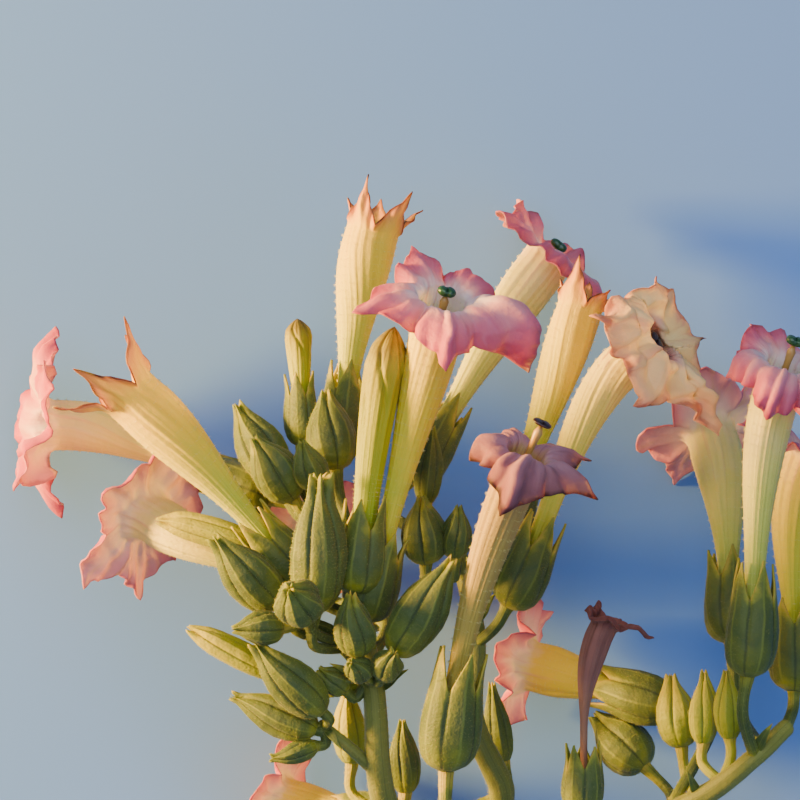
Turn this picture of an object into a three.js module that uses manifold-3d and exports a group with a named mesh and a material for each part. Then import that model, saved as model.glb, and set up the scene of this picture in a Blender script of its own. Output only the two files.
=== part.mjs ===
// Cut flowering head of a tobacco plant, lying on a flat surface. Millimetres, +Z up.
// Every flower stands on a stalk: a green cup of five teeth, and in it a long trumpet
// of five pointed lobes. X runs across the head, Y from the cut end to the tips.
import * as THREE from 'three';
import { mergeVertices } from 'three/addons/utils/BufferGeometryUtils.js';
import Module from 'manifold-3d';

const wasm = await Module();
wasm.setup();

// driving dimensions
const gap = 0.3; // air left between two pieces that touch
const petalWall = 0.8;
const tubeFoot = 1.7; // radius of a trumpet inside its cup
const throat = 4.4; // radius of a trumpet at its mouth
const lobe = 10.5; // length of a lobe from the mouth to its point
const notch = 0.6; // reach between two lobes, as a share of a lobe
const cupLength = 17;
const cupRadius = 4.5;
const cupTooth = 0.26; // tooth length as a share of the cup
const stalk = 1.15; // radius of a flower's stalk
const styleRadius = 0.6;
const stigmaRadius = 1.5;
const mainStem = 4.2; // radius at the cut end
const lobes = 5;
const petalSides = lobes * 3;
const cupSides = lobes * 2;
const budSides = 7;
const stemSides = 10;
const stalkSides = 5;
const styleSides = 5;
const styleTurn = Math.PI / petalSides; // sets a style's corners between those of its trumpet
const bendSteps = 80;
const rimSlack = 0.05; // how far past the mouth's radius a lobe begins

const colours = {
  petal: 0xe9a79d,
  dusky: 0xb98a93,
  cream: 0xe8cf8a,
  green: 0x5f7440,
  lime: 0xa9a94e,
  brown: 0x6b4032,
  stem: 0x7f8a45,
};

const vector = (place) => new THREE.Vector3(...place);

// a closed mesh becomes a solid once its seam and its poles are merged
function solidOf(geometry) {
  const { position } = geometry.attributes;
  const { index } = geometry;
  const faces = [];
  for (let i = 0; i < index.count; i += 3) {
    const [a, b, c] = [index.getX(i), index.getX(i + 1), index.getX(i + 2)];
    if (a !== b && b !== c && c !== a) faces.push(a, b, c);
  }
  return new wasm.Manifold(new wasm.Mesh({
    numProp: 3,
    vertProperties: Float32Array.from(position.array),
    triVerts: Uint32Array.from(faces),
  }));
}

function merged(geometry) {
  geometry.deleteAttribute('normal');
  geometry.deleteAttribute('uv');
  return mergeVertices(geometry, 1e-4);
}

// turns a profile that may differ from side to side round the Y axis
function turned(profile, sides, reachOf) {
  const rings = profile(1).map(([r, y]) => new THREE.Vector2(r, y));
  const geometry = new THREE.LatheGeometry(rings, sides);
  const { position } = geometry.attributes;
  for (let side = 0; side <= sides; side++) {
    const angle = ((side % sides) / sides) * 2 * Math.PI;
    profile(reachOf(side % sides)).forEach(([r, y], ring) => {
      position.setXYZ(side * rings.length + ring, r * Math.sin(angle), y, r * Math.cos(angle));
    });
  }
  return merged(geometry);
}

// carries a shape that stands along Y onto a curve, its height measured along the curve;
// what stands out past the rim keeps the way that the curve ends
function bent(geometry, curve, rim = Infinity) {
  const length = curve.getLength();
  const frames = curve.computeFrenetFrames(bendSteps);
  const { position } = geometry.attributes;
  for (let i = 0; i < position.count; i++) {
    const y = position.getY(i);
    const past = Math.hypot(position.getX(i), position.getZ(i)) > rim;
    const along = past ? 1 : THREE.MathUtils.clamp(y / length, 0, 1);
    const step = Math.round(along * bendSteps);
    const point = curve.getPointAt(along);
    point.addScaledVector(frames.tangents[step], y - along * length);
    point.addScaledVector(frames.binormals[step], position.getX(i));
    point.addScaledVector(frames.normals[step], position.getZ(i));
    position.setXYZ(i, point.x, point.y, point.z);
  }
  return solidOf(geometry);
}

// a tapered round stem along a smooth line, with flat ends
function stem(points, foot, top, grow = 0) {
  const curve = new THREE.CatmullRomCurve3(points.map(vector));
  const length = curve.getLength();
  const thick = foot > stalk;
  const steps = Math.max(2, Math.round(length / (thick ? 7 : 8)));
  const round = new THREE.CylinderGeometry(
    top + grow, foot + grow, length + 2 * grow, thick ? stemSides : stalkSides, steps);
  round.translate(0, length / 2, 0);
  return bent(merged(round), curve);
}

// a flower sets out along its rise, or else straight for its mouth
const setOut = ({ base, mouth, rise }) => (rise ? vector(rise) : vector(mouth).sub(vector(base))).normalize();

// the line of a flower, from the bottom of its cup to the middle of its mouth
function flowerLine(flower) {
  const { base, mouth, facing } = flower;
  const [start, end] = [vector(base), vector(mouth)];
  const reach = start.distanceTo(end) * 0.36;
  const outward = vector(facing).normalize();
  const early = start.clone().addScaledVector(setOut(flower), reach);
  const late = end.clone().addScaledVector(outward, -reach);
  return new THREE.CubicBezierCurve3(start, early, late, end);
}

// lobe points stand on every third side, and the notches lie between
const lobeReach = (side) => (side % 3 === 0 ? 1 : notch);
const toothReach = (side) => (side % 2 === 0 ? 1 : 0);

// a hollow trumpet with five lobes; the grown one is filled, to cut its neighbours clear
function trumpet(flower, grow = 0) {
  const line = flowerLine(flower);
  const length = line.getLength();
  const mouthRadius = flower.throat ?? throat;
  const foot = Math.min(tubeFoot, mouthRadius * 0.6);
  const lobeLength = flower.lobe ?? lobe;
  const flare = THREE.MathUtils.degToRad(flower.flare ?? 78);
  const start = cupLength * 0.12;
  const stations = [[foot, start], [foot, 0.32 * length], [(foot + mouthRadius) / 2, 0.6 * length],
    [mouthRadius, 0.94 * length]];
  const limb = (share, reach, lift) => {
    const open = flare * Math.min(1, 0.45 + share);
    const out = lobeLength * share * reach;
    return [
      mouthRadius + out * Math.sin(open) - lift * Math.cos(open),
      length + out * Math.cos(open) + lift * Math.sin(open),
    ];
  };
  const profile = (reach) => {
    const edge = 1 + grow / lobeLength;
    const outer = [[0, start - grow], [foot + grow, start - grow],
      ...stations.slice(1).map(([r, y]) => [r + grow, y]), limb(0.5, reach, -grow), limb(edge, reach, -grow)];
    const upper = [limb(edge, reach, petalWall + grow), limb(0.5, reach, petalWall + grow)];
    if (grow) return [...outer, ...upper, [0, length + petalWall + grow]];
    const inner = stations.slice(2).reverse().map(([r, y]) => [r - petalWall, y + petalWall]);
    return [...outer, ...upper, ...inner, [0, 0.5 * length]];
  };
  let solid = bent(turned(profile, petalSides, lobeReach), line, mouthRadius + grow + rimSlack);
  if (flower.style !== undefined && !grow) solid = solid.add(pistil(line, length, flower.style));
  return solid;
}

// a style from the bottom of the trumpet, with the round stigma past the mouth
function pistil(line, length, past) {
  const top = length + past;
  const profile = () => [[0, 0.45 * length], [styleRadius, 0.45 * length], [styleRadius, top - 1.2],
    [stigmaRadius, top - 0.9], [stigmaRadius, top], [0, top]];
  return bent(turned(profile, styleSides, () => 1).rotateY(styleTurn), line);
}

// a long closed bud, thickest near its blunt point
function closedTrumpet(flower, grow = 0) {
  const line = flowerLine(flower);
  const length = line.getLength();
  const thick = flower.throat + grow;
  const foot = flower.throat * 0.55 + grow;
  const profile = () => [[0, 2 - grow], [foot, 2 - grow], [foot, 0.35 * length], [thick * 0.8, 0.66 * length],
    [thick, 0.86 * length], [thick * 0.75, 0.95 * length], [0, length + grow]];
  return bent(turned(profile, budSides, () => 1), line);
}

// the green cup round a flower's foot, and the stalk that carries it
function cup(flower, grow = 0) {
  const length = flower.cup ?? cupLength;
  const radius = (flower.cupRadius ?? cupRadius) + grow;
  const profile = (reach) => [[0, -grow], [stalk * 1.5 + grow, -grow], [radius * 0.8, length * 0.14],
    [radius, length * 0.38], [radius * 0.86, length * (1 - cupTooth)],
    [radius * (0.78 + 0.1 * reach), length * (1 - cupTooth + cupTooth * reach) + grow],
    [0, length * (1 - cupTooth) + grow]];
  return bent(turned(profile, cupSides, toothReach), flowerLine(flower)).add(stalkOf(flower, grow));
}

// a calyx that is still shut: an egg of green teeth drawn to a point
function bud(flower, grow = 0) {
  const line = flowerLine(flower);
  const length = line.getLength();
  const radius = flower.radius + grow;
  const profile = () => [[0, -grow], [stalk * 1.3 + grow, -grow], [radius * 0.85, length * 0.2],
    [radius, length * 0.45], [radius * 0.72, length * 0.74], [radius * 0.25, length * 0.94],
    [0, length + grow]];
  return bent(turned(profile, budSides, () => 1), line).add(stalkOf(flower, grow));
}

function stalkOf(flower, grow) {
  const { foot, base } = flower;
  const start = vector(base);
  const into = setOut(flower);
  const end = start.clone().addScaledVector(into, 1);
  const half = start.clone().addScaledVector(into, -start.distanceTo(vector(foot)) * 0.4);
  return stem([foot, half.toArray(), end.toArray()], stalk * 0.9, stalk, grow);
}

// stems and branches, each from its foot to its top
const branches = {
  stem_main: { points: [[22, -37, 4.3], [20, -26, 9], [17, -14, 18], [15, -4, 26]], foot: mainStem,
    top: 3.2 },
  branch_front: { points: [[17, -15, 19], [4, -9, 38], [-2.7, 0, 52], [-4.4, 18.5, 60], [-6, 28, 56],
    [-8, 44, 50]], foot: 3, top: 1.4 },
  branch_left: { points: [[-3.2, 4, 54], [-8, 8.5, 57], [-13.3, 13, 59]], foot: 1.2, top: 0.9 },
  branch_back: { points: [[15, -5, 25], [17.5, 1, 32], [12.6, 13, 37], [13, 28, 38], [10, 42, 38]],
    foot: 2.4, top: 1.4 },
  branch_right: { points: [[17, -14, 18], [34, -9, 30], [51.7, 0, 42], [60, 6.5, 48], [66, 12, 46]],
    foot: 2.6, top: 1.5 },
};

// open flowers: the foot of the stalk, the bottom of the cup, the middle of the mouth and
// the way it faces, then what differs from the usual size
const flowers = {
  centre: { foot: [-5, 26, 58], base: [-6.2, 30.5, 61], mouth: [7.3, 84, 72], facing: [0.2, 0.8, 0.56],
    style: 2.5, lobe: 11.5, flare: 90 },
  front_right: { foot: [4, -9, 38], base: [7.8, 5.4, 66], mouth: [21, 58, 78], facing: [0.38, 0.83, 0.42],
    rise: [0.06, 1, 0.2], style: 7.5, throat: 3.6, lobe: 9.5, flare: 112, cup: 21, cupRadius: 5.1,
    colour: 'dusky' },
  left: { foot: [-7, 31, 55], base: [-15, 36, 57], mouth: [-45.4, 69.2, 64], facing: [-0.72, 0.68, 0.1],
    throat: 5, lobe: 9.5, flare: 56, colour: 'cream' },
  far_left: { foot: [-8, 42, 50], base: [-22, 51, 36], mouth: [-60.3, 63.7, 17], facing: [-0.96, 0, 0.22],
    throat: 4.2, lobe: 11, flare: 92 },
  lower_left: { foot: [-7, 36, 53], base: [-14, 35, 43], mouth: [-42.5, 47.6, 34],
    facing: [-0.63, 0.4, -0.66], throat: 4.2, lobe: 11, flare: 84 },
  top_left: { foot: [-8, 44, 50], base: [-10.6, 58, 38], mouth: [-4.8, 97, 30], facing: [0.25, 0.97, 0],
    throat: 4.6, lobe: 8, flare: 22, colour: 'cream' },
  top: { foot: [10, 42, 38], base: [1.6, 54, 30], mouth: [25.4, 92, 15.5], facing: [0.6, 0.78, -0.1],
    style: 3.5, lobe: 10, flare: 84 },
  top_right: { foot: [11, 36, 38], base: [16.5, 42, 34], mouth: [31, 84, 34], facing: [0.3, 0.95, 0],
    lobe: 7.5, flare: 30, throat: 4, colour: 'cream' },
  right: { foot: [13, 26, 38], base: [18.3, 32.5, 42], mouth: [43.5, 78, 48], facing: [0.76, 0.4, 0.5],
    throat: 4, lobe: 10, flare: 112, style: 2 },
  withered: { foot: [22, -12, 23], base: [30.8, -2, 56], mouth: [34.2, 29.5, 61], facing: [0.4, 0.9, 0.1],
    throat: 2.2, lobe: 5, flare: 60, cup: 12, cupRadius: 3.6, colour: 'brown' },
  right_cluster: { foot: [60.6, 7, 48], base: [59, 21, 56], mouth: [65, 73, 64], facing: [0.3, 0.86, 0.42],
    throat: 4, lobe: 9.5, flare: 98, style: 5.5, cup: 20 },
  right_back: { foot: [62, 8, 47], base: [57.5, 26, 24], mouth: [54.5, 61.5, 12.5],
    facing: [-0.25, 0.8, -0.55],
    lobe: 11, flare: 86 },
  low_back: { foot: [46, -3, 38], base: [47, 15, 28], mouth: [23.5, 21.5, 15.8],
    facing: [-0.85, 0.2, -0.25], lobe: 11, flare: 84 },
  right_edge: { foot: [66, 12, 46], base: [67.5, 18, 42], mouth: [70, 57.5, 40], facing: [0.35, 0.93, 0.1],
    lobe: 10, flare: 84 },
  low_left: { foot: [4, -9, 38], base: [-1, -5, 32], mouth: [-19, -2, 14], facing: [-0.75, 0.2, -0.3],
    throat: 3.8, lobe: 9.5, flare: 80 },
  under: { foot: [-5, 24, 57], base: [-4, 31, 44], mouth: [-14, 44.5, 11.2], facing: [-0.66, 0.1, -0.74],
    lobe: 10.5, flare: 84 },
};

// flowers still shut, each in an open cup
const longBuds = {
  long: { foot: [-7, 28, 56], base: [-7.6, 35, 64], mouth: [-0.9, 80.4, 68], facing: [0.25, 0.95, 0.2],
    throat: 3.6 },
  upright: { foot: [-8, 44, 50], base: [-16.6, 60, 42], mouth: [-17.6, 82, 40], facing: [-0.05, 1, 0],
    throat: 2.4, cup: 13, cupRadius: 3 },
};

// shut calyxes; those of one set stand on one foot and are one piece
const budSets = {
  bud_twin: [{ foot: [-7, 26, 58], base: [-14.3, 32, 68], mouth: [-13.6, 55.4, 71], facing: [0, 1, 0.1],
    radius: 4.7 }],
  bud_left: [{ foot: [-6, 29, 56], base: [-20.5, 33, 62], mouth: [-31.3, 45, 66], facing: [-0.6, 0.8, 0.1],
    radius: 4.2 }],
  bud_round: [{ foot: [-6, 26, 58], base: [-16, 32, 73], mouth: [-18.6, 36.6, 81],
    facing: [-0.3, 0.4, 0.85], radius: 4 }],
  bud_low_left: [{ foot: [-6, 25, 58], base: [-19.7, 29.6, 66], mouth: [-28.2, 29.2, 69],
    facing: [-1, -0.1, 0.1], radius: 2.9 }],
  bud_knot: [
    { foot: [-5, 22, 60], base: [-7, 25, 68], mouth: [-8.2, 35.5, 73], facing: [0, 0.9, 0.3], radius: 3.4 },
    { foot: [-5, 22, 60], base: [-3, 21.6, 66], mouth: [-0.8, 25.5, 72], facing: [0.4, 0.5, 0.8],
      radius: 2.6 },
    { foot: [-5, 22, 60], base: [-6, 21.6, 66], mouth: [-8.4, 24, 71], facing: [-0.4, 0.4, 0.8],
      radius: 2.3 },
    { foot: [-5, 22, 60], base: [-9, 18.8, 61], mouth: [-13.8, 22.6, 63], facing: [-0.8, 0.6, 0],
      radius: 2.4 },
  ],
  bud_right: [{ foot: [-5, 22, 60], base: [-1, 25, 67], mouth: [8.9, 41.2, 72], facing: [0.5, 0.85, 0.2],
    radius: 4.2 }],
  bud_low_pair: [
    { foot: [-13, 12.8, 59], base: [-14, 12, 59], mouth: [-28.6, 17.8, 58], facing: [-1, 0.4, 0],
      radius: 3.4 },
    { foot: [-13, 12.8, 59], base: [-14, 9.4, 58], mouth: [-22, 7.4, 60], facing: [-1, 0.1, 0.1],
      radius: 1.9 },
  ],
  bud_low: [{ foot: [-12.8, 12.6, 59], base: [-13, 15, 62], mouth: [-24.5, 27.2, 66],
    facing: [-0.6, 0.8, 0], radius: 3.9 }],
  bud_yellow_low: [{ foot: [-5, 20, 60], base: [-20, 21, 57], mouth: [-35.9, 29.2, 57],
    facing: [-0.9, 0.5, 0], radius: 2.4, colour: 'lime' }],
  bud_yellow_up: [{ foot: [-7, 36, 53], base: [-24, 43.6, 54], mouth: [-41.3, 47.4, 52],
    facing: [-1, 0.1, 0], radius: 2.5, colour: 'lime' }],
  bud_back_left: [
    { foot: [-8, 43, 50], base: [-20.5, 54, 44], mouth: [-28, 67.4, 42], facing: [-0.5, 0.9, 0],
      radius: 4 },
    { foot: [-8, 43, 50], base: [-18, 51, 52], mouth: [-25, 61.5, 54], facing: [-0.6, 0.8, 0.1],
      radius: 4 },
  ],
  bud_back_top: [
    { foot: [-8, 43.5, 50], base: [-10.8, 56, 47], mouth: [-12.7, 69.6, 46], facing: [-0.1, 1, 0],
      radius: 4.1 },
    { foot: [-8, 43.5, 50], base: [-14.5, 53, 54], mouth: [-16.6, 61, 58], facing: [-0.2, 0.9, 0.4],
      radius: 3 },
  ],
  bud_middle: [
    { foot: [10, 41, 38], base: [4.5, 40, 46], mouth: [3.6, 51.6, 49], facing: [-0.1, 1, 0.1],
      radius: 3.9 },
    { foot: [10, 41, 38], base: [9.4, 41, 47], mouth: [9.9, 50, 50], facing: [0, 1, 0.2], radius: 2.6 },
    { foot: [10, 41, 38], base: [4.4, 50, 42], mouth: [5.6, 63.4, 42], facing: [0.1, 1, 0], radius: 2.4 },
  ],
  bud_behind_stem: [{ foot: [0, -4, 46], base: [-8.2, 5.5, 42], mouth: [-8.8, 19, 44], facing: [0, 1, 0],
    radius: 2.9,
    colour: 'lime' }],
  bud_low_middle: [{ foot: [16, -1, 31], base: [1, 0, 30], mouth: [0.4, 12.8, 32], facing: [0, 1, 0],
    radius: 2.8 }],
  bud_by_branch: [{ foot: [16.5, -2, 30], base: [18, 5, 24], mouth: [15.8, 19, 26], facing: [-0.1, 1, 0],
    radius: 2.3 }],
  bud_far: [{ foot: [46, -3, 38], base: [42.5, 4.3, 24], mouth: [33.7, 13.4, 20], facing: [-0.7, 0.7, 0],
    radius: 4.6 }],
  bud_right_low: [{ foot: [51, -0.5, 41], base: [48.6, 8, 32], mouth: [46.8, 20.6, 32],
    facing: [0, 1, 0], radius: 3.6,
    colour: 'lime' }],
  bud_right_pair: [
    { foot: [55, 2.5, 44.5], base: [52, 8.8, 41], mouth: [52.2, 21.6, 42], facing: [0, 1, 0], radius: 2.5,
      colour: 'lime' },
    { foot: [55, 2.5, 44.5], base: [56.4, 9.8, 46], mouth: [55.8, 21.8, 47], facing: [0, 1, 0],
      radius: 2.4 },
  ],
};

const head = new THREE.Group();
const placed = [];

const finish = (colour, roughness) => new THREE.MeshStandardMaterial({
  color: colours[colour], roughness, metalness: 0 });

const meets = (a, b) => [0, 1, 2].every((k) => a.min[k] <= b.max[k] && b.min[k] <= a.max[k]);

// cuts a solid clear of those already placed and keeps its largest piece
function place(name, solid, grown, material) {
  let rest = solid;
  for (const other of placed) {
    if (meets(rest.boundingBox(), other.boundingBox())) rest = rest.subtract(other);
  }
  const [whole] = rest.decompose().sort((a, b) => b.volume() - a.volume());
  placed.push(grown);
  const { vertProperties, triVerts } = whole.getMesh();
  const geometry = new THREE.BufferGeometry();
  geometry.setAttribute('position', new THREE.BufferAttribute(vertProperties, 3));
  geometry.setIndex(new THREE.BufferAttribute(triVerts, 1));
  const mesh = new THREE.Mesh(geometry, material);
  mesh.name = name;
  head.add(mesh);
}

for (const [name, { points, foot, top }] of Object.entries(branches)) {
  place(name, stem(points, foot, top), stem(points, foot, top, gap), finish('stem', 0.7));
}
for (const [name, flower] of Object.entries(flowers)) {
  place(`bloom_${name}`, trumpet(flower), trumpet(flower, gap), finish(flower.colour ?? 'petal', 0.6));
}
for (const [name, flower] of Object.entries(longBuds)) {
  place(`bud_${name}`, closedTrumpet(flower), closedTrumpet(flower, gap), finish('lime', 0.65));
}
for (const [name, flower] of Object.entries({ ...flowers, ...longBuds })) {
  place(`cup_${name}`, cup(flower), cup(flower, gap), finish('green', 0.75));
}
for (const [name, set] of Object.entries(budSets)) {
  const joined = (grow) => set.map((one) => bud(one, grow)).reduce((sum, one) => sum.add(one));
  place(name, joined(0), joined(gap), finish(set[0].colour ?? 'green', 0.75));
}

// the head lies with the middle of its outline at the origin and its lowest point on z = 0
const outline = new THREE.Box3().setFromObject(head);
const middle = outline.getCenter(new THREE.Vector3());
head.position.set(-middle.x, -middle.y, -outline.min.z);

export default head;
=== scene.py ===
import bpy
import math
import numpy as np
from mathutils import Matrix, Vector


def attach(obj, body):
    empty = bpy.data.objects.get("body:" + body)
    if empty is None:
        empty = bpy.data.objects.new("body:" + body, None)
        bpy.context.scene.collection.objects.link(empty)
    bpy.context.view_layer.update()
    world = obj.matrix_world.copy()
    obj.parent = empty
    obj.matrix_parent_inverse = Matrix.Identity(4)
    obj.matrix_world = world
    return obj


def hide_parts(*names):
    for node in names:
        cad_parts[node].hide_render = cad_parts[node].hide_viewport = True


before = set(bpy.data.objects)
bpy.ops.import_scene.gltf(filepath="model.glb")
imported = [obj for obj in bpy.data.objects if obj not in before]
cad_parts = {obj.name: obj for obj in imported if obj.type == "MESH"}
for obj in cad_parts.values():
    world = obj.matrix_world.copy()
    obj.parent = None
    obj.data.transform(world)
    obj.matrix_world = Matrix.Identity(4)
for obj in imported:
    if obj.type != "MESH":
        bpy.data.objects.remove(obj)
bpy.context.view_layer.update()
bpy.ops.object.select_all(action="DESELECT")
print("frame loaded:", len(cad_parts), "nodes")

# places below are in mm from the picture's lower middle; this carries them to the head's own origin
headShift = np.array([-9.7194, -33.7081, -0.0306])
up = np.array([0.0, 0.0, 1.0])
away = np.array([0.0, 1.0, 0.0])  # to the picture's top
fullTurn = 2 * math.pi
lobeCount = 5


def toMetres(points):
    return (np.asarray(points, float) + headShift) / 1000


def unit(v):
    # one vector or rows of them
    v = np.asarray(v, float)
    return v / np.linalg.norm(v, axis=-1, keepdims=True)


def readAll(items, key, width=1, kind=float):
    # one value or a row of values for each item of a mesh
    values = np.empty(len(items) * width, dtype=kind)
    items.foreach_get(key, values)
    return values.reshape(-1, width) if width > 1 else values


def smooth(x, low, high):
    t = np.clip((np.asarray(x, float) - low) / (high - low), 0, 1)
    return t * t * (3 - 2 * t)


# camera, floor and light

viewSet = {
    "distance": 1600,  # mm from the lens to the flowers in front
    "width": 136,  # mm that the picture takes in there
    "height": 55,  # mm above the floor where that width holds
    "sensor": 36,  # mm
    "far": 10,  # metres, past which nothing is drawn
}


def makeCamera():
    spot = toMetres((0, viewSet["width"] / 2, viewSet["height"] + viewSet["distance"]))
    bpy.ops.object.camera_add(location=spot, rotation=(0, 0, 0))
    camera = bpy.context.object
    camera.name = "overheadCamera"
    camera.data.sensor_width = viewSet["sensor"]
    camera.data.lens = viewSet["sensor"] * viewSet["distance"] / viewSet["width"]
    camera.data.clip_end = viewSet["far"]
    bpy.context.scene.camera = camera


def linear(hexColour):
    # an sRGB hex value turned to the linear colour that a shader takes
    parts = [int(hexColour[k:k + 2], 16) / 255 for k in (1, 3, 5)]
    return tuple(p / 12.92 if p <= 0.04045 else ((p + 0.055) / 1.055) ** 2.4 for p in parts) + (1.0,)


def feed(tree, node, links):
    # each input takes a value, another node's output or, given the node itself, its first output
    for socket, source in links.items():
        if isinstance(source, bpy.types.Node):
            source = source.outputs[0]
        if isinstance(source, bpy.types.NodeSocket):
            tree.links.new(source, node.inputs[socket])
        else:
            node.inputs[socket].default_value = source


def addNode(tree, kind, links=None, stops=None, **settings):
    # adds one node; stops are the colours of a ramp
    node = tree.nodes.new("ShaderNode" + kind)
    for key, value in settings.items():
        setattr(node, key, value)
    feed(tree, node, links or {})
    if stops:
        marks = node.color_ramp.elements
        marks.remove(marks[1])
        for k, (position, colour) in enumerate(stops):
            mark = marks.new(position) if k else marks[0]
            mark.position = position
            mark.color = linear(colour)
    return node


def newMaterial(name):
    material = bpy.data.materials.new(name)
    material.use_nodes = True
    tree = material.node_tree
    shader = next(n for n in tree.nodes if n.type == "BSDF_PRINCIPLED")
    return material, tree, shader


lightSet = {
    "floor": ("#608AC8", 6),  # colour, and metres a side
    "room": ("#96B6F0", 0.44),  # colour, strength
    "aim": (0, 0, 0.045),  # metres; the middle of the head
    "lamps": {  # place in metres, width in metres, watts, colour
        "warmKey": ((-0.66, 0.1, 0.17), 0.16, 38.0, "#FFCA66"),
        "coolFill": ((0.45, -0.3, 0.75), 0.6, 2.0, "#CFE0FF"),
        "softTop": ((-0.1, 0.3, 0.85), 0.7, 6.0, "#D8E4FA"),
    },
}


def makeStage():
    colour, size = lightSet["floor"]
    bpy.ops.mesh.primitive_plane_add(size=size, location=(0, 0, 0))
    floor = bpy.context.object
    floor.name = "paleFloor"
    # matt wall paint: no gloss, so the floor stays plain
    material, tree, shader = newMaterial("mattePaint")
    feed(tree, shader, {"Base Color": linear(colour), "Roughness": 0.9})
    floor.data.materials.append(material)
    world = bpy.data.worlds.new("softRoom")
    bpy.context.scene.world = world
    world.use_nodes = True
    colour, strength = lightSet["room"]
    feed(world.node_tree, world.node_tree.nodes["Background"], {0: linear(colour), 1: strength})
    for name, (spot, size, power, colour) in lightSet["lamps"].items():
        bpy.ops.object.light_add(type="AREA", location=spot)
        lamp = bpy.context.object
        lamp.name = name
        lamp.data.size = size
        lamp.data.energy = power
        lamp.data.color = linear(colour)[:3]
        lamp.rotation_mode = "QUATERNION"
        lamp.rotation_quaternion = (Vector(lightSet["aim"]) - Vector(spot)).to_track_quat("-Z", "Y")


makeCamera()
makeStage()
print("camera, floor and lamps made")


# lines that stalks, tubes and buds follow

tubeRun = 0.36  # a tube runs on straight at either end for about this share of its length
stalkRun = 0.4  # and a stalk below its cup


def lineFrom(points, count=160):
    # even steps along the points, with a frame at each that turns as little as it can
    points = np.asarray(points, float)
    steps = np.linalg.norm(np.diff(points, axis=0), axis=1)
    run = np.concatenate([[0], np.cumsum(steps)])
    arc = np.linspace(0, run[-1], count)
    spots = np.stack([np.interp(arc, run, points[:, k]) for k in range(3)], axis=1)
    ahead = unit(np.gradient(spots, axis=0))
    start = up if abs(ahead[0] @ up) < 0.9 else away
    normals = []
    for direction in ahead:
        start = unit(start - (start @ direction) * direction)
        normals.append(start)
    normals = np.array(normals)
    # the whole line is then turned so that angle 0 faces the viewer at its far end
    last = ahead[-1]
    front = up if abs(last @ up) < 0.94 else -away
    front = unit(front - (front @ last) * last)
    turn = math.atan2(np.cross(normals[-1], front) @ last, normals[-1] @ front)
    sides = np.cross(ahead, normals)
    normals, sides = (normals * math.cos(turn) + sides * math.sin(turn),
                      sides * math.cos(turn) - normals * math.sin(turn))
    return {"length": run[-1], "arc": arc, "spots": spots, "ahead": ahead, "normals": normals,
            "sides": sides}


def setOut(flower):
    # the way in which a flower leaves its stalk
    return unit(flower.get("rise", np.array(flower["mouth"], float) - flower["base"]))


def flowerLine(flower):
    start, end = np.array([flower["base"], flower["mouth"]], float)
    reach = np.linalg.norm(end - start) * tubeRun
    low, high = start + setOut(flower) * reach, end - unit(flower["facing"]) * reach
    t = np.linspace(0, 1, 300)[:, None]
    left = 1 - t
    return lineFrom(left ** 3 * start + 3 * left ** 2 * t * low + 3 * left * t * t * high + t ** 3 * end)


def softLine(corners):
    # a smooth line through its corners
    corners = np.asarray(corners, float)
    full = np.vstack([2 * corners[0] - corners[1], corners, 2 * corners[-1] - corners[-2]])
    t = np.linspace(0, 1, 60)[:, None]
    parts = []
    for a, b, c, d in zip(full, full[1:], full[2:], full[3:]):
        parts.append(0.5 * (2 * b + (c - a) * t + (2 * a - 5 * b + 4 * c - d) * t ** 2
                            + (3 * b - a - 3 * c + d) * t ** 3))
    return lineFrom(np.vstack(parts))


def onLine(line, height, radius, angle, rigid=False):
    # where rigid, a point keeps the frame of the line's far end
    near = np.where(rigid, line["length"], np.clip(height, 0, line["length"]))
    pick = {k: np.stack([np.interp(near, line["arc"], line[k][:, axis]) for axis in range(3)], axis=1)
            for k in ("spots", "ahead", "normals", "sides")}
    out = pick["normals"] * np.cos(angle)[:, None] + pick["sides"] * np.sin(angle)[:, None]
    return toMetres(pick["spots"] + pick["ahead"] * (height - near)[:, None] + out * radius[:, None])


# ring tubes: a circle drawn out step by step, then shaped

grids = {  # points round and rings along
    "petals": (120, 66), "rolled": (100, 60), "style": (12, 24), "stigma": (32, 16), "stalk": (16, 18),
    "cup": (90, 32), "calyx": (90, 46), "bract": (24, 16), "stem": (40, 75),
}
templates = {}


def ringTube(around, rings):
    # a straight tube of height 1 whose map holds the way round and the way along
    bpy.ops.mesh.primitive_circle_add(vertices=around, radius=1, location=(0, 0, 0), calc_uvs=False)
    tube = bpy.context.object
    bpy.ops.object.mode_set(mode="EDIT")
    for _ in range(rings):
        bpy.ops.mesh.extrude_region_move(TRANSFORM_OT_translate={"value": (0, 0, 1 / rings)})
    bpy.ops.mesh.select_all(action="SELECT")
    bpy.ops.mesh.normals_make_consistent(inside=False)
    bpy.ops.object.mode_set(mode="OBJECT")
    mesh = tube.data
    co = readAll(mesh.vertices, "co", 3)
    corner = readAll(mesh.loops, "vertex_index", kind=int)
    wayRound = (np.arctan2(co[:, 1], co[:, 0]) / fullTurn) % 1
    u = wayRound[corner].reshape(-1, 4)
    # faces across the seam keep one run of numbers
    seam = (u.max(axis=1) - u.min(axis=1)) > 0.5
    u[seam] = np.where(u[seam] < 0.5, u[seam] + 1, u[seam])
    flower = mesh.uv_layers.new(name="flower")
    flower.data.foreach_set("uv", np.stack([u.ravel(), co[corner, 2]], axis=1).ravel())
    return tube


def shaped(name, kind, shape):
    # a copy of a ring tube, each point carried to where shape(angle, along) says
    if kind not in templates:
        templates[kind] = ringTube(*grids[kind])
        templates[kind].hide_render = True
    mesh = templates[kind].data.copy()
    piece = bpy.data.objects.new(name, mesh)
    bpy.context.collection.objects.link(piece)
    co = readAll(mesh.vertices, "co", 3)
    mesh.vertices.foreach_set("co", shape(np.arctan2(co[:, 1], co[:, 0]), co[:, 2]).ravel())
    mesh.update()
    return piece


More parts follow.
